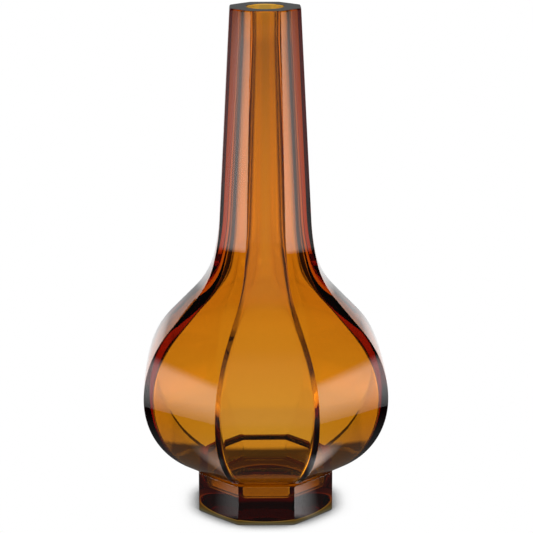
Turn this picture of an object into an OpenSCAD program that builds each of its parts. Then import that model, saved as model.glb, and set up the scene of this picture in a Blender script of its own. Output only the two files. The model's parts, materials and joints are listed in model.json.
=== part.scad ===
// Glass bud vase: an eight-sided bulb that sweeps up into a long tapered neck,
// standing on an eight-sided foot. Every side is a polished facet with level
// straight lines across it. The inside of the bulb has the same eight sides, and
// the neck has a round bore up to a round mouth. The vessel ends below in a closed
// eight-sided spigot, which is bonded into a socket of the same shape in the foot.

/* [Vase] */
// Overall height
vase_h = 254; // [240:1:270]
// Width of the bulb across two opposite facets
bulb_across = 122; // [116:1:128]
// Height of the widest point of the bulb
bulb_mid_h = 62.5; // [60:0.5:66]
// Width of the rim across two opposite facets
rim_across = 34.6; // [32:0.2:38]
// Bevel polished round the rim and the foot
bevel = 0.6; // [0.3:0.1:1]

/* [Profile of a facet] */
// Radius of the arc below the widest point
under_r = 44.5; // [43:0.5:46]
// Radius of the arc above the widest point
over_r = 51.5; // [48:0.5:54]
// Steepest slope of the shoulder, measured from upright
shoulder_deg = 42; // [38:1:45]
// Radius of the hollow curve where the shoulder turns up
sweep_r = 40; // [36:1:46]
// Slope at which that curve passes into the gentler one
sweep_deg = 13.5; // [10:0.5:16]
// Radius of the gentle curve at the root of the neck
root_r = 118; // [100:2:140]
// Slope of the neck's straight side
neck_deg = 3; // [2.5:0.1:3.4]

/* [Inside] */
// Radius of the mouth
mouth_r = 9; // [8:0.25:10]
// Depth of the mouth's straight wall
mouth_depth = 14; // [10:1:20]
// Thickness of the bulb's wall at the middle of a facet
bulb_wall = 7.5; // [6.5:0.5:9]
// Step in from the mouth's wall to the bore of the neck below it
mouth_step = 0.9; // [0.8:0.1:1.2]
// Height at which the eight-sided inside of the bulb gives way to the round bore
round_h = 115; // [110:1:125]
// Radius of the bowl's arc below the widest point
bowl_r = 42; // [41:0.5:43]
// Radius of the cavity's arc above its widest point
dome_r = 41; // [40:0.5:44]
// Width of the well in the bottom of the vessel across two flats
well_across = 54; // [51:0.5:55]
// Height of the well's floor above the table
well_floor_h = 12; // [11:0.5:13]
// Radius of the curve between the well's wall and its floor
well_corner_r = 3; // [2:0.5:4]

/* [Foot] */
// Width of the foot across two opposite facets
foot_across = 68; // [66:0.5:70]
// Height of the foot
foot_h = 20.5; // [20:0.5:21]
// Width of the spigot that fills the foot's socket across two flats
spigot_across = 60; // [59:0.5:61]
// Height of the spigot's underside above the table
spigot_h = 6; // [5:0.5:7]
// Thickness of the clear bond round the spigot
bond_t = 0.2; // [0.15:0.05:0.3]
// Radius of the hollow ground into the foot's underside
hollow_r = 26.4; // [24:0.2:28]
// Depth of that hollow
hollow_depth = 1.8; // [1:0.1:2.2]

/* [Hidden] */
$fn = 96;
sides = 8;
over = 1;               // how far a cutter runs past what it cuts
bore_gap = 0.1;         // how far the round bore stays clear of the flats below it
bulb_a = bulb_across / 2;
rim_a = rim_across / 2;
foot_a = foot_across / 2;
spigot_a = spigot_across / 2;
well_a = well_across / 2;
inside_a = bulb_a - bulb_wall;
corner = 1 / cos(180 / sides);
arc_step = 4;           // degrees between the points of an arc
first_turn = 1;         // degrees by which an arc starts past the point it shares
bowl_deg = acos((well_a - inside_a + bowl_r) / bowl_r);

// Length of the straight shoulder that lets the arcs below it and the straight
// neck above it meet the top point (top_a, top_h).
function shoulder_len(mid_a, ro, rs, rr, top_a, top_h) =
    let (bend_h = bulb_mid_h + ro * sin(shoulder_deg)
                + rs * (sin(shoulder_deg) - sin(sweep_deg))
                + rr * (sin(sweep_deg) - sin(neck_deg)),
         bend_a = mid_a - ro * (1 - cos(shoulder_deg))
                - rs * (cos(sweep_deg) - cos(shoulder_deg))
                - rr * (cos(neck_deg) - cos(sweep_deg)))
    (bend_a - top_a - (top_h - bend_h) * tan(neck_deg))
        / (sin(shoulder_deg) - cos(shoulder_deg) * tan(neck_deg));

// Points of an arc about a centre, from one angle to another.
function arc(centre, r, from_deg, to_deg) =
    let (steps = max(2, ceil(abs(to_deg - from_deg) / arc_step)))
    [for (i = [0 : steps])
        let (turn = from_deg + (to_deg - from_deg) * i / steps)
        centre + r * [cos(turn), sin(turn)]];

// Wall outline from its low end up: an arc below the widest point, an arc above
// it, the straight shoulder, two hollow arcs, and the straight neck to its top.
function wall(mid_a, ru, ro, rs, rr, low_deg, top_a, top_h) =
    let (straight = shoulder_len(mid_a, ro, rs, rr, top_a, top_h),
         over_c = [mid_a - ro, bulb_mid_h],
         shoulder = over_c + ro * [cos(shoulder_deg), sin(shoulder_deg)]
                  + straight * [-sin(shoulder_deg), cos(shoulder_deg)],
         sweep_c = shoulder + rs * [cos(shoulder_deg), sin(shoulder_deg)],
         root_c = sweep_c + (rr - rs) * [cos(sweep_deg), sin(sweep_deg)])
    concat(arc([mid_a - ru, bulb_mid_h], ru, -low_deg, -arc_step),
           arc(over_c, ro, 0, shoulder_deg),
           arc(sweep_c, rs, 180 + shoulder_deg, 180 + sweep_deg),
           arc(root_c, rr, 180 + sweep_deg - first_turn, 180 + neck_deg),
           [[top_a, top_h]]);

// A solid with eight equal facets, each the wall outline drawn straight across.
module faceted(wall_points, reach) {
    left = [for (i = [len(wall_points) - 1 : -1 : 0]) [-wall_points[i].x, wall_points[i].y]];
    intersection_for (turn = [0 : 360 / sides : 179])
        rotate([0, 0, turn]) rotate([90, 0, 0])
            linear_extrude(height = 2 * reach, center = true)
                polygon(concat(wall_points, left));
}

// A straight eight-sided block between two heights.
module block(half, low, high) {
    faceted([[half, low], [half, high]], half * corner + over);
}

vessel_wall = concat(
    [[spigot_a, spigot_h], [spigot_a, foot_h]],
    wall(bulb_a, under_r, over_r, sweep_r, root_r, asin((bulb_mid_h - foot_h) / under_r),
         rim_a - bevel * tan(neck_deg), vase_h - bevel),
    [[rim_a - bevel, vase_h]]);

cavity_wall = concat(
    arc([well_a - well_corner_r, well_floor_h + well_corner_r], well_corner_r, -90, 0),
    wall(inside_a, bowl_r, dome_r, sweep_r + bulb_wall, root_r + bulb_wall,
         bowl_deg, mouth_r - mouth_step, vase_h - mouth_depth));

// Distance of the cavity's wall from the axis at a height.
function cavity_at(h) = lookup(h, [for (point = cavity_wall) [point.y, point.x]]);

bulb_cavity_wall = concat(
    [for (point = cavity_wall) if (point.y < round_h) point],
    [[cavity_at(round_h), round_h]]);

bore_wall = concat(
    [[0, round_h - over], [cavity_at(round_h) - bore_gap, round_h - over]],
    [for (point = cavity_wall) if (point.y > round_h) point - [bore_gap, 0]],
    [[0, vase_h - mouth_depth]]);

module vessel() {
    color([0.72, 0.42, 0.1, 0.5]) difference() {
        faceted(vessel_wall, bulb_a * corner + over);
        faceted(bulb_cavity_wall, bulb_a * corner + over);
        rotate_extrude() polygon(bore_wall);
        translate([0, 0, vase_h - mouth_depth]) cylinder(r = mouth_r, h = mouth_depth + over);
    }
}

foot_wall = [[foot_a - bevel, 0], [foot_a, bevel],
             [foot_a, foot_h - bevel], [foot_a - bevel, foot_h]];

module foot() {
    ball_r = (hollow_r * hollow_r + hollow_depth * hollow_depth) / (2 * hollow_depth);
    color([0.62, 0.33, 0.08, 0.6]) difference() {
        faceted(foot_wall, foot_a * corner + over);
        block(spigot_a + bond_t, spigot_h - bond_t, foot_h + over);
        translate([0, 0, hollow_depth - ball_r]) sphere(ball_r);
    }
}

module bond() {
    color([0.9, 0.9, 0.85, 0.4]) difference() {
        block(spigot_a + bond_t, spigot_h - bond_t, foot_h);
        block(spigot_a, spigot_h, foot_h + over);
    }
}

vessel();
foot();
bond();
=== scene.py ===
# Glass bud vase: an eight-sided amber vessel bonded into an eight-sided foot.
import json
import math
import bpy
import numpy as np
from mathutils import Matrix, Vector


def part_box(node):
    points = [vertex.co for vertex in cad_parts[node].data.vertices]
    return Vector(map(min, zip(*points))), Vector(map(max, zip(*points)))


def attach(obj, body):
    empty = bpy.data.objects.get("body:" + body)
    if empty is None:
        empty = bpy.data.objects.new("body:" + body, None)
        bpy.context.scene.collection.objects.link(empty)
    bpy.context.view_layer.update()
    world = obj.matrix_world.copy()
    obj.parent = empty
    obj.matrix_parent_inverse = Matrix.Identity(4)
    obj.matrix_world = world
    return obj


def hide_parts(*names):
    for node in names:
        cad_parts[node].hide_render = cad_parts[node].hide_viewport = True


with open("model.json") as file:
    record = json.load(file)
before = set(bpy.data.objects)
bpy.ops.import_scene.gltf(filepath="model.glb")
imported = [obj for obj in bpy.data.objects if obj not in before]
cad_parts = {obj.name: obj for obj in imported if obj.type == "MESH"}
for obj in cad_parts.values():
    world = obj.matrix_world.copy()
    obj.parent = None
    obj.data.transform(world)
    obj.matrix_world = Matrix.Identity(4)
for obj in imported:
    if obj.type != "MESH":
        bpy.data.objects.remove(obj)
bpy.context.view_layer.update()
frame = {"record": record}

mm = 0.001
sides = 8
eighth = 2 * math.pi / sides
bondGap = 0.02 * mm          # air left between bonded faces, so that no two lie in one plane
socketArris = 0.5 * mm       # rounding of the upright edges of the spigot, bond and socket

# places that the frame fixes
(vesselLow, vesselHigh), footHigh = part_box("vessel"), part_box("foot")[1]
bondLow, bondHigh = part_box("bond")
mouthMount = next(m for m in frame["record"]["mounts"] if m["name"] == "mouth")
rimHeight, bulbHalf, spigotHeight = vesselHigh[2], vesselHigh[0], vesselLow[2]
footHeight, footHalf = footHigh[2], footHigh[0]
socketHalf = bondHigh[0]
bondThickness = spigotHeight - bondLow[2]
spigotHalf = socketHalf - bondThickness
mouthRadius = mouthMount["dims"]["r_mm"] * mm
mouthDepth = mouthMount["dims"]["length_mm"] * mm


# An arc: centre + radius * (cos, sin), in even steps between two angles in degrees.
def arcPoints(centre, radius, start, end, count):
    turn = np.radians(np.linspace(start, end, count))
    return np.stack([centre[0] + radius * np.cos(turn), centre[1] + radius * np.sin(turn)], -1)


# Profile up one wall, as rows of (distance from the axis, height): an arc below the
# widest point, an arc above it, the straight shoulder, two hollow arcs that turn it
# upright, and the straight neck. inset moves the whole curve inwards. The shoulder
# gets the length that makes the neck end at its top point.
def wallProfile(shape, midHalf, inset, lowDeg, topHalf, topHeight):
    under, over = shape["underRadius"] - inset, shape["overRadius"] - inset
    sweep, root = shape["sweepRadius"] + inset, shape["rootRadius"] + inset
    middle = shape["middleHeight"]
    shoulderDeg, sweepDeg, neckDeg = shape["shoulderDeg"], shape["sweepDeg"], shape["neckDeg"]
    a, b, c = np.radians([shoulderDeg, sweepDeg, neckDeg])
    bendHeight = (middle + over * math.sin(a) + sweep * (math.sin(a) - math.sin(b))
                  + root * (math.sin(b) - math.sin(c)))
    bendHalf = (midHalf - over * (1 - math.cos(a)) - sweep * (math.cos(b) - math.cos(a))
                - root * (math.cos(c) - math.cos(b)))
    shoulder = ((bendHalf - topHalf - (topHeight - bendHeight) * math.tan(c))
                / (math.sin(a) - math.cos(a) * math.tan(c)))
    low = arcPoints((midHalf - under, middle), under, -lowDeg, 0, 44)
    high = arcPoints((midHalf - over, middle), over, 0, shoulderDeg, 26)
    slope = high[-1] + np.linspace(0, shoulder, 9)[:, None] * np.array([-math.sin(a), math.cos(a)])
    sweepCentre = slope[-1] + sweep * np.array([math.cos(a), math.sin(a)])
    swept = arcPoints(sweepCentre, sweep, 180 + shoulderDeg, 180 + sweepDeg, 20)
    rootCentre = sweepCentre + (root - sweep) * np.array([math.cos(b), math.sin(b)])
    rooted = arcPoints(rootCentre, root, 180 + sweepDeg, 180 + neckDeg, 12)
    neck = np.linspace(rooted[-1], (topHalf, topHeight), 26)
    return np.concatenate([low[:-1], high[:-1], slope[:-1], swept[:-1], rooted[:-1], neck])


# A stack of rings round the axis, one for each row of the profile. Rows with squareness
# 1 are an octagon whose flats stand at the row's distance: the sharp octagon shrunk by
# the arris radius, then grown back along each column's own normal. Rows with 0 are
# circles, and those between are a blend. crown is the share of the distance by which the
# flats fall away towards their arrises. Rows at distance 0 close the ends.
def ringMesh(name, profile, squareness, crown, arris, bonded, flatSteps=14, arrisSteps=6):
    facet = np.repeat(np.arange(sides), flatSteps + arrisSteps)
    step = np.tile(np.arange(flatSteps + arrisSteps), sides)
    across = np.minimum(step / flatSteps, 1) * 2 - 1              # -1 to 1 over each flat
    facing = facet * eighth - math.pi / 2
    normalTurn = facing + np.maximum(step - flatSteps, 0) / arrisSteps * eighth
    flatOut = np.stack([np.cos(facing), np.sin(facing)], -1)
    flatAlong = np.stack([-np.sin(facing), np.cos(facing)], -1)
    core = flatOut + (across * math.tan(eighth / 2))[:, None] * flatAlong
    grow = np.stack([np.cos(normalTurn), np.sin(normalTurn)], -1)
    circleTurn = facing + (step - flatSteps / 2) * eighth / (flatSteps + arrisSteps)
    circle = np.stack([np.cos(circleTurn), np.sin(circleTurn)], -1)

    reach = profile[:, 0][:, None, None]
    rounding = arris[:, None, None]
    fall = 1 - (crown[:, None] * across ** 2)[:, :, None]
    octagon = fall * (reach - rounding) * core + rounding * grow
    share = squareness[:, None, None]
    flat = share * octagon + (1 - share) * reach * circle
    height = np.broadcast_to(profile[:, 1][:, None, None], flat.shape[:2] + (1,))
    grid = np.concatenate([flat, height], -1)

    rows, columns = grid.shape[:2]
    poles = np.array([[0, 0, profile[0, 1]], [0, 0, profile[-1, 1]]])
    points = np.concatenate([grid[1:-1].reshape(-1, 3), poles])
    lowPole, highPole = len(points) - 2, len(points) - 1
    index = np.arange((rows - 2) * columns).reshape(rows - 2, columns)
    beside = np.roll(index, -1, axis=1)
    quads = np.stack([index[:-1], beside[:-1], beside[1:], index[1:]], -1).reshape(-1, 4)
    lowFan = np.stack([np.full(columns, lowPole), beside[0], index[0]], -1)
    highFan = np.stack([np.full(columns, highPole), index[-1], beside[-1]], -1)
    faceBonded = np.concatenate([np.repeat(bonded[1:-1], columns),
                                 np.full(columns, bonded[0]), np.full(columns, bonded[-1])])
    return solidFrom(name, points, quads, np.concatenate([lowFan, highFan]), faceBonded)


# Puts points and faces into a mesh. Each point's normal is the sum of its faces' normals
# weighted by their areas, so flats stay flat right up to their rounded arrises.
def solidFrom(name, points, quads, triangles, faceBonded):
    loops = np.concatenate([quads.ravel(), triangles.ravel()]).astype(np.int32)
    sizes = np.concatenate([np.full(len(quads), 4), np.full(len(triangles), 3)]).astype(np.int32)
    mesh = bpy.data.meshes.new(name)
    mesh.vertices.add(len(points))
    mesh.loops.add(len(loops))
    mesh.polygons.add(len(sizes))
    mesh.vertices.foreach_set("co", points.astype(np.float32).ravel())
    mesh.loops.foreach_set("vertex_index", loops)
    starts = np.concatenate([[0], np.cumsum(sizes)[:-1]]).astype(np.int32)
    mesh.polygons.foreach_set("loop_start", starts)
    mesh.polygons.foreach_set("use_smooth", np.ones(len(sizes), dtype=bool))
    mesh.update(calc_edges=True)
    marks = mesh.attributes.new("bonded", "FLOAT", "FACE")
    marks.data.foreach_set("value", faceBonded.astype(np.float32))

    normals = np.zeros_like(points)
    quadArea = np.cross(points[quads[:, 2]] - points[quads[:, 0]],
                        points[quads[:, 3]] - points[quads[:, 1]])
    fanArea = np.cross(points[triangles[:, 1]] - points[triangles[:, 0]],
                       points[triangles[:, 2]] - points[triangles[:, 0]])
    for corner in range(4):
        np.add.at(normals, quads[:, corner], quadArea)
    for corner in range(3):
        np.add.at(normals, triangles[:, corner], fanArea)
    normals /= np.maximum(np.linalg.norm(normals, axis=1, keepdims=True), 1e-20)
    mesh.normals_split_custom_set_from_vertices(normals.astype(np.float32))
    piece = bpy.data.objects.new(name, mesh)
    bpy.context.collection.objects.link(piece)
    return piece


# Joins stretches of profile into one, with each row's squareness, crown, arris and bonding.
def joinStretches(stretches):
    profile = np.concatenate([stretch["points"] for stretch in stretches])
    columns = [np.concatenate([np.broadcast_to(np.asarray(stretch.get(key, 0), float),
                                               len(stretch["points"])) for stretch in stretches])
               for key in ("square", "crown", "arris", "bonded")]
    return profile, *columns[:3], columns[3][:-1]


vesselShape = dict(
    middleHeight=62.5 * mm,      # height of the widest point
    underRadius=44.5 * mm,       # arc below it
    overRadius=51.5 * mm,        # arc above it
    shoulderDeg=42, sweepDeg=13.5, neckDeg=3,
    sweepRadius=40 * mm,         # hollow arc at the foot of the neck
    rootRadius=118 * mm,         # gentler arc above it
    rimHalf=17.3 * mm,
    arris=0.45 * mm,             # polished edges between the facets
    rimEdge=0.6 * mm,            # rounding of the rim's outer edge
    mouthEdge=0.45 * mm,         # rounding of the mouth
    bulbWall=7.5 * mm,           # thickness at the middle of a facet
    innerArris=0.06,             # softer edges inside, as a share of their distance
    roundDown=100 * mm,          # where the round bore of the neck has become eight-sided
    roundUp=130 * mm,            # and where it starts to
    wellHalf=27 * mm,            # distance of the well's flats from the axis
    wellFloor=12 * mm,           # height of its floor
    wellCorner=3 * mm,           # curve between its wall and floor
    bowlRadius=42 * mm,          # arc of the bowl at the bottom of the cavity
    domeRadius=41 * mm,          # arc of the cavity above its widest point
    bowlDeg=67.9,                # how far round its arc the bowl of the cavity runs
    wellEdge=0.3 * mm,           # small bevel where the bowl drops into the well
    crown=0.009,                 # how much the facets swell, as a share of their distance
    innerCrown=0.010,            # the same for the facets inside
)


def makeVessel(shape):
    lowDeg = math.degrees(math.asin((shape["middleHeight"] - footHeight) / shape["underRadius"]))
    edge = shape["rimEdge"]
    wall = wallProfile(shape, bulbHalf, 0, lowDeg, shape["rimHalf"], rimHeight - edge)
    rim = arcPoints((shape["rimHalf"] - edge, rimHeight - edge), edge, 0, 90, 7)[1:]
    lip = shape["mouthEdge"]
    top = np.array([[(rim[-1, 0] + mouthRadius + lip) / 2, rimHeight]])
    mouth = arcPoints((mouthRadius + lip, rimHeight - lip), lip, 90, 180, 7)
    inside = dict(shape, underRadius=shape["bowlRadius"] + shape["bulbWall"],
                  overRadius=shape["domeRadius"] + shape["bulbWall"])
    inner = wallProfile(inside, bulbHalf - shape["bulbWall"], shape["bulbWall"], shape["bowlDeg"],
                        mouthRadius, rimHeight - mouthDepth)[::-1]
    inner = inner[inner[:, 0] > 0]
    wellHalf, corner, floor = shape["wellHalf"], shape["wellCorner"], shape["wellFloor"]
    # close rows keep the edge between the bowl and the well crisp
    inner = np.concatenate([inner[:-1], [0.85 * inner[-1] + 0.15 * inner[-2]], inner[-1:]])
    wellTop = inner[-1, 1] - shape["wellEdge"]
    well = np.concatenate([[(wellHalf, wellTop)],
                           np.linspace((wellHalf, wellTop - 0.2 * mm), (wellHalf, floor + corner), 8),
                           arcPoints((wellHalf - corner, floor + corner), corner, 0, -90, 9)[1:],
                           np.linspace((wellHalf - corner, floor), (0, floor), 8)[1:]])
    spigotArris = np.array([0, 1, 1, 1]) * socketArris
    spigot = np.array([[0, spigotHeight], [spigotHalf / 2, spigotHeight], [spigotHalf, spigotHeight],
                       [spigotHalf, footHeight + bondGap]])
    wall[0, 1] += bondGap
    fade = np.clip((shape["roundUp"] - inner[:, 1]) / (shape["roundUp"] - shape["roundDown"]), 0, 1)
    square = fade * fade * (3 - 2 * fade)
    stretches = [
        dict(points=spigot, square=1, arris=spigotArris, bonded=1),
        dict(points=wall, square=1, arris=shape["arris"], crown=shape["crown"]),
        dict(points=rim, square=1, arris=shape["arris"], crown=shape["crown"]),
        dict(points=top, square=0.5, arris=shape["arris"]),
        dict(points=mouth),
        dict(points=inner, square=square, arris=shape["innerArris"] * inner[:, 0],
             crown=shape["innerCrown"]),
        dict(points=well, square=1, arris=shape["innerArris"] * well[:, 0])]
    return ringMesh("vesselGlass", *joinStretches(stretches)), wall[0, 0]


footShape = dict(
    edge=0.6 * mm,               # rounding of the top and bottom edges
    arris=0.5 * mm,              # rounding of the upright edges
    hollowRadius=26.4 * mm,      # hollow ground into the underside
    hollowDepth=1.8 * mm,
    hollowEdge=0.4 * mm,         # rounding of the rim that the vase stands on
)


def makeFoot(shape, contactHalf, crown):
    edge, lip = shape["edge"], shape["hollowEdge"]
    ballRadius = (shape["hollowRadius"] ** 2 + shape["hollowDepth"] ** 2) / (2 * shape["hollowDepth"])
    swing = math.degrees(math.asin(shape["hollowRadius"] / ballRadius))
    hollow = arcPoints((0, shape["hollowDepth"] - ballRadius), ballRadius, 90, 90 - swing, 16)
    hollow[0, 0] = 0
    hollow[-1] = (shape["hollowRadius"] - lip, hollow[-2, 1] * 0.35)
    under = np.array([[shape["hollowRadius"], 0]])
    low = arcPoints((footHalf - edge, edge), edge, -90, 0, 7)
    high = arcPoints((footHalf - edge, footHeight - edge), edge, 0, 90, 7)
    ledge = np.array([[contactHalf, footHeight]])
    socketFloor = spigotHeight - bondThickness
    contactArris = np.array([1, 1, 1, 0]) * socketArris
    contact = np.array([[socketHalf, footHeight], [socketHalf, socketFloor],
                        [socketHalf / 2, socketFloor], [0, socketFloor]])
    stretches = [
        dict(points=hollow), dict(points=under),
        dict(points=low, square=1, arris=shape["arris"], crown=crown),
        dict(points=high, square=1, arris=shape["arris"], crown=crown),
        dict(points=ledge, square=1, arris=shape["arris"], crown=crown, bonded=1),
        dict(points=contact, square=1, arris=contactArris, bonded=1)]
    return ringMesh("footGlass", *joinStretches(stretches))


def makeBond():
    inside, outside = spigotHalf + bondGap, socketHalf - bondGap
    low, high = spigotHeight - bondThickness + bondGap, spigotHeight - bondGap
    top = footHeight - bondGap
    profile = np.array([[0, low], [outside / 2, low], [outside, low], [outside, top],
                        [inside, top], [inside, high], [inside / 2, high], [0, high]])
    rows = len(profile)
    arris = np.where(profile[:, 0] > 0, socketArris, 0)
    return ringMesh("bondLayer", profile, np.ones(rows), np.zeros(rows), arris, np.zeros(rows - 1))


glassLook = dict(
    ior=1.52,
    perMetre=(25.6, 90.0, 300.0),    # red, green and blue light taken by a metre of glass
    waves=(22, 22, 14),              # slow waviness, in waves a metre
    waveHeight=0.10 * mm,
    cords=(260, 260, 5),             # fine upright cords
    cordHeight=0.006 * mm,
    scuff=0.35,                      # roughness worn into the edge that it stands on
    scuffTop=0.7 * mm,               # how far up the scuffs reach
)
bondTint = (0.99, 0.99, 0.98, 1)


def mathNode(nodes, links, operation, a, b=None):
    node = nodes.new("ShaderNodeMath")
    node.operation = operation
    for socket, value in zip(node.inputs, (a, b)):
        if value is None:
            continue
        if isinstance(value, (int, float)):
            socket.default_value = value
        else:
            links.new(value, socket)
    return node.outputs[0]


# A smooth change from toLow to toHigh while the value goes from fromLow to fromHigh.
def rampNode(nodes, links, value, fromLow, fromHigh, toLow, toHigh):
    node = nodes.new("ShaderNodeMapRange")
    node.interpolation_type = "SMOOTHSTEP"
    links.new(value, node.inputs["Value"])
    node.inputs["From Min"].default_value = fromLow
    node.inputs["From Max"].default_value = fromHigh
    node.inputs["To Min"].default_value = toLow
    node.inputs["To Max"].default_value = toHigh
    return node.outputs["Result"]


def newMaterial(name):
    material = bpy.data.materials.new(name)
    material.use_nodes = True
    material.node_tree.nodes.clear()
    return material, material.node_tree.nodes, material.node_tree.links


def absorbing(nodes, links, output):
    taken = np.array(glassLook["perMetre"])
    volume = nodes.new("ShaderNodeVolumeAbsorption")
    density = float(taken.max())
    # absorption per metre is density times one minus the colour
    volume.inputs["Color"].default_value = (*(1 - taken / density), 1)
    volume.inputs["Density"].default_value = density
    links.new(volume.outputs["Volume"], output.inputs["Volume"])


# One layer of unevenness: noise of so many waves a metre along x, y and z, standing so
# many metres high, on top of the layer before it. It gives the normal and the noise.
def uneven(nodes, links, waves, height, before=None):
    fitted = nodes.new("ShaderNodeMapping")
    fitted.inputs["Scale"].default_value = waves
    links.new(nodes.new("ShaderNodeTexCoord").outputs["Object"], fitted.inputs["Vector"])
    noise = nodes.new("ShaderNodeTexNoise")
    noise.inputs["Scale"].default_value = 1
    noise.inputs["Detail"].default_value = 1.5
    links.new(fitted.outputs["Vector"], noise.inputs["Vector"])
    bump = nodes.new("ShaderNodeBump")
    bump.inputs["Strength"].default_value = 1
    bump.inputs["Distance"].default_value = height
    links.new(noise.outputs["Fac"], bump.inputs["Height"])
    if before is not None:
        links.new(before, bump.inputs["Normal"])
    return bump.outputs["Normal"], noise.outputs["Fac"]


# Amber glass with a slow waviness, fine upright cords, and a scuffed lower edge.
def amberGlass(name):
    material, nodes, links = newMaterial(name)
    output = nodes.new("ShaderNodeOutputMaterial")
    glass = nodes.new("ShaderNodeBsdfPrincipled")
    glass.inputs["Base Color"].default_value = (1, 1, 1, 1)
    glass.inputs["Transmission Weight"].default_value = 1
    glass.inputs["Roughness"].default_value = 0.0
    glass.inputs["IOR"].default_value = glassLook["ior"]
    waved, patches = uneven(nodes, links, glassLook["waves"], glassLook["waveHeight"])
    corded = uneven(nodes, links, glassLook["cords"], glassLook["cordHeight"], waved)[0]
    links.new(corded, glass.inputs["Normal"])
    parts = nodes.new("ShaderNodeSeparateXYZ")
    links.new(nodes.new("ShaderNodeTexCoord").outputs["Object"], parts.inputs[0])
    scuffed = rampNode(nodes, links, parts.outputs["Z"], 0, glassLook["scuffTop"], glassLook["scuff"], 0)
    links.new(mathNode(nodes, links, "MULTIPLY", scuffed, patches), glass.inputs["Roughness"])
    # faces that touch the bond let light straight through, as a bonded joint does
    clear = nodes.new("ShaderNodeBsdfTransparent")
    bonded = nodes.new("ShaderNodeAttribute")
    bonded.attribute_name = "bonded"
    either = nodes.new("ShaderNodeMixShader")
    links.new(bonded.outputs["Fac"], either.inputs[0])
    links.new(glass.outputs["BSDF"], either.inputs[1])
    links.new(clear.outputs["BSDF"], either.inputs[2])
    links.new(either.outputs[0], output.inputs["Surface"])
    absorbing(nodes, links, output)
    return material


def clearBond(name, tint):
    material, nodes, links = newMaterial(name)
    output = nodes.new("ShaderNodeOutputMaterial")
    clear = nodes.new("ShaderNodeBsdfTransparent")
    clear.inputs["Color"].default_value = tint
    links.new(clear.outputs["BSDF"], output.inputs["Surface"])
    return material


print("making the vessel, the foot and the bond")
vessel, contactHalf = makeVessel(vesselShape)
foot = makeFoot(footShape, contactHalf, vesselShape["crown"])
bond = makeBond()
print("giving them their glass")
for piece, look, node, slot in (
        (vessel, amberGlass("vesselAmber"), "vessel", "vessel_glass"),
        (foot, amberGlass("footAmber"), "foot", "foot_glass"),
        (bond, clearBond("clearBond", bondTint), "bond", "clear_bond")):
    piece.data.materials.append(look)
    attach(piece, "root")
    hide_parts(node)


# Lengths are in metres, and +y is behind the vase. Pairs say where a change starts and
# ends. A slant is y over the distance aside.
studio = dict(
    cameraPlace=(-16.3 * mm, -947.5 * mm, 384.5 * mm),
    cameraDown=15.35,                # degrees below level
    cameraTurn=1.025,                # degrees to the right of straight ahead
    lens=133.3,                      # mm, on a sensor 36 mm wide
    room=0.03,                       # brightness of the dark room
    front=0.36,                      # and of its side behind the camera
    backdrop=0.32,                   # the same of the backdrop at its foot
    backdropSide=(0.955, 0.985),     # y of the directions that see it
    backdropTop=(0.0, 0.40),         # and z
    frontSide=(-0.2, -0.8),
    table=0.09,                      # painted shade: the dim brightness the glass sees on the table that the vase stands on
    tableEdge=(0.066, 0.074),
    sheetNear=0.88,                  # brightness of the sheet beyond the table
    sheetFar=1.0,
    sheetStep=(0.135, 0.155),
    sheetTop=0.5,                    # share of it left at the far end
    sheetFade=(0.45, 1.6),
    fanFrom=0.3,                     # the sheet's sides spread from this far in front
    fan=(0.25, 0.60),
    fanShare=0.04,                   # share of the sheet's light left beyond its sides
    besideFloor=3.0,                 # bright floor at each side
    besideStart=(0.20, 0.6),
    besideEnd=(2.5, 5.0),
    besideEndShare=0.3,
    besideTurn=(-0.10, 0.10),        # slants between which it dims towards the back
    besideBack=0.15,                 # share of it left there
    besideLast=(0.15, 0.30),         # slants between which it stops at the back
    besideFirst=(-1.3, -0.9),        # and starts at the front
    frontFloor=(-0.12, -0.30),
    pool=2.4,                        # light patch on the table in front of the right side
    poolShare=0.4,                   # share of it in front of the left side
    poolMiddle=(-0.01, 0.01),
    poolBack=(-0.018, -0.036),
    poolFront=(-0.085, -0.060),
    poolInner=(0.02, 0.03),
    poolOuter=(0.05, 0.10),
    underFoot=0.5,                   # light gathered on the table under the foot
    underFootEdge=(0.024, 0.030),
    shadowReach=0.012,               # reach of the soft shadow where the foot stands
    shadowOpen=(0.35, 0.95),         # openness between which it fades
    shadowDark=0.05,
    panels=2.4,                      # brightness of the panel at each side
    panelPlace=0.158,
    panelLow=0.016,
    panelTop=0.122,
    panelDim=0.1,                    # share of its brightness at the floor
    panelRise=0.6,                   # share of its height at which it is full
    panelFade=0.026,                 # depth of its soft upper edge
    panelBack=0.04,
    panelFront=-0.16,
    floorHalf=6.0,
    bounces=32,
    glossBounces=16,
)


def makeCamera():
    camera = bpy.data.objects.new("camera", bpy.data.cameras.new("camera"))
    camera.data.lens = studio["lens"]
    camera.data.sensor_width = 36
    camera.data.clip_start = 0.01
    camera.location = studio["cameraPlace"]
    camera.rotation_euler = (math.radians(90 - studio["cameraDown"]), 0,
                             -math.radians(studio["cameraTurn"]))
    bpy.context.collection.objects.link(camera)
    bpy.context.scene.camera = camera


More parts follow.
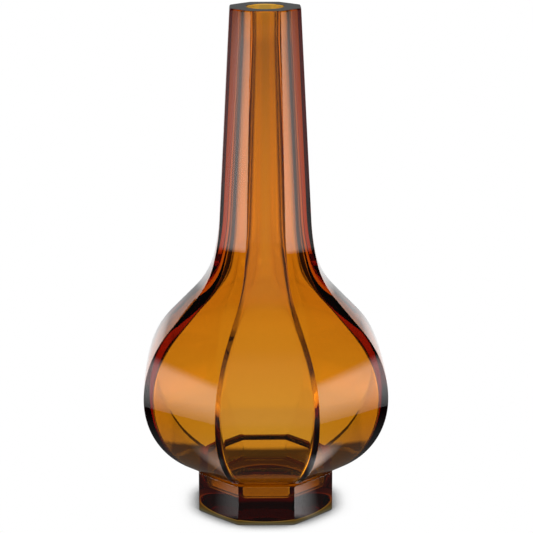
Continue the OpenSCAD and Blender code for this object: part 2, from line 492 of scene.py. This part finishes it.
# The camera sees a plain pale backdrop; the glass sees a dark room with a dim backdrop.
def makeWorld():
    world = bpy.data.worlds.new("studio")
    bpy.context.scene.world = world
    world.use_nodes = True
    nodes, links = world.node_tree.nodes, world.node_tree.links
    nodes.clear()
    output = nodes.new("ShaderNodeOutputWorld")
    background = nodes.new("ShaderNodeBackground")
    links.new(background.outputs[0], output.inputs["Surface"])
    direction = nodes.new("ShaderNodeTexCoord").outputs["Generated"]
    parts = nodes.new("ShaderNodeSeparateXYZ")
    links.new(direction, parts.inputs[0])
    behind = rampNode(nodes, links, parts.outputs["Y"], *studio["backdropSide"], 0.0, 1.0)
    upper = rampNode(nodes, links, parts.outputs["Z"], *studio["backdropTop"],
                     studio["backdrop"], studio["room"])
    behind = mathNode(nodes, links, "MULTIPLY", behind, upper)
    front = rampNode(nodes, links, parts.outputs["Y"], *studio["frontSide"],
                     studio["room"], studio["front"])
    both = mathNode(nodes, links, "MAXIMUM", behind, front)
    path = nodes.new("ShaderNodeLightPath").outputs["Is Camera Ray"]
    links.new(mathNode(nodes, links, "MAXIMUM", both, path), background.inputs["Strength"])


# A flat glowing sheet, with the sockets for its brightness and for how clear it is.
def flatSheet(name, corners):
    mesh = bpy.data.meshes.new(name)
    mesh.from_pydata(corners, [], [(0, 1, 2, 3)])
    sheet = bpy.data.objects.new(name, mesh)
    bpy.context.collection.objects.link(sheet)
    material, nodes, links = newMaterial(name)
    mesh.materials.append(material)
    output = nodes.new("ShaderNodeOutputMaterial")
    glow = nodes.new("ShaderNodeEmission")
    clear = nodes.new("ShaderNodeBsdfTransparent")
    fading = nodes.new("ShaderNodeMixShader")
    fading.inputs[0].default_value = 0
    links.new(glow.outputs[0], fading.inputs[1])
    links.new(clear.outputs[0], fading.inputs[2])
    links.new(fading.outputs[0], output.inputs["Surface"])
    parts = nodes.new("ShaderNodeSeparateXYZ")
    links.new(nodes.new("ShaderNodeTexCoord").outputs["Object"], parts.inputs[0])
    return sheet, nodes, links, parts.outputs, glow.inputs["Strength"], fading.inputs[0]


def product(nodes, links, *factors):
    result = factors[0]
    for factor in factors[1:]:
        result = mathNode(nodes, links, "MULTIPLY", result, factor)
    return result


def brightest(nodes, links, *lights):
    result = lights[0]
    for light in lights[1:]:
        result = mathNode(nodes, links, "MAXIMUM", result, light)
    return result


# What the glass sees of the floor: the table near the vase dimmed by painted shade, with a
# bright sheet behind it, bright floor at the sides and some light in front.
def floorPattern(nodes, links, place):
    def ramp(value, ends, low, high):
        return rampNode(nodes, links, value, *ends, low, high)

    def divided(a, b):
        return mathNode(nodes, links, "DIVIDE", a, b)

    x, y = place["X"], place["Y"]
    aside = mathNode(nodes, links, "ABSOLUTE", x)
    wide = divided(aside, mathNode(nodes, links, "ADD", y, studio["fanFrom"]))
    # painted shade: the table near the vase is dim, and the glowing sheet beyond it is bright
    sheet = product(
        nodes, links,
        ramp(y, studio["tableEdge"], studio["table"], studio["sheetNear"]),
        ramp(y, studio["sheetStep"], 1.0, studio["sheetFar"] / studio["sheetNear"]),
        ramp(y, studio["sheetFade"], 1.0, studio["sheetTop"]),
        ramp(wide, studio["fan"], 1.0, studio["fanShare"]))
    slant = divided(y, aside)
    beside = product(
        nodes, links,
        ramp(aside, studio["besideStart"], 0.0, studio["besideFloor"]),
        ramp(aside, studio["besideEnd"], 1.0, studio["besideEndShare"]),
        ramp(slant, studio["besideTurn"], 1.0, studio["besideBack"]),
        ramp(slant, studio["besideLast"], 1.0, 0.0),
        ramp(slant, studio["besideFirst"], 0.0, 1.0))
    pool = product(
        nodes, links,
        ramp(y, studio["poolBack"], 0.0, 1.0),
        ramp(y, studio["poolFront"], 0.0, 1.0),
        ramp(aside, studio["poolInner"], 0.0, 1.0),
        ramp(aside, studio["poolOuter"], studio["pool"], 0.0),
        ramp(x, studio["poolMiddle"], studio["poolShare"], 1.0))
    before = ramp(y, studio["frontFloor"], 0.0, studio["front"])
    fromMiddle = nodes.new("ShaderNodeVectorMath")
    fromMiddle.operation = "LENGTH"
    links.new(nodes.new("ShaderNodeTexCoord").outputs["Object"], fromMiddle.inputs[0])
    under = ramp(fromMiddle.outputs["Value"], studio["underFootEdge"], studio["underFoot"], 0.0)
    return brightest(nodes, links, sheet, beside, pool, before, under)


# The camera sees a plain pale floor with a soft shadow under the foot.
def makeFloor():
    size = studio["floorHalf"]
    corners = [(-size, -size, 0), (size, -size, 0), (size, size, 0), (-size, size, 0)]
    floor, nodes, links, place, strength, _ = flatSheet("floor", corners)
    pattern = floorPattern(nodes, links, place)
    seen = nodes.new("ShaderNodeLightPath").outputs["Is Camera Ray"]
    shade = nodes.new("ShaderNodeAmbientOcclusion")
    shade.samples = 8
    shade.inputs["Distance"].default_value = studio["shadowReach"]
    lit = rampNode(nodes, links, shade.outputs["AO"], *studio["shadowOpen"], studio["shadowDark"], 1.0)
    shown = product(nodes, links, seen, lit)
    unseen = product(nodes, links, pattern, mathNode(nodes, links, "SUBTRACT", 1, seen))
    links.new(mathNode(nodes, links, "ADD", unseen, shown), strength)
    return floor


# A soft panel on each side, dimmer towards its lower edge and with a soft upper edge.
def makePanel(side):
    away, top, low = side * studio["panelPlace"], studio["panelTop"], studio["panelLow"]
    front, back = studio["panelFront"], studio["panelBack"]
    corners = [(away, front, low), (away, back, low), (away, back, top), (away, front, top)]
    panel, nodes, links, place, strength, clearness = flatSheet("panel", corners)
    dim = rampNode(nodes, links, place["Z"], 0.0, studio["panelRise"] * top, studio["panelDim"], 1.0)
    links.new(product(nodes, links, dim, studio["panels"]), strength)
    edge = rampNode(nodes, links, place["Z"], top - studio["panelFade"], top, 0.0, 1.0)
    links.new(edge, clearness)
    panel.visible_camera = False
    return panel


print("setting up the studio")
makeCamera()
makeWorld()
makeFloor()
makePanel(-1)
makePanel(1)
bpy.context.scene.view_settings.view_transform = "Standard"
paths = bpy.context.scene.cycles
paths.max_bounces = studio["bounces"]
paths.transmission_bounces = studio["bounces"]
paths.glossy_bounces = studio["glossBounces"]
paths.transparent_max_bounces = studio["bounces"]

bpy.context.view_layer.update()
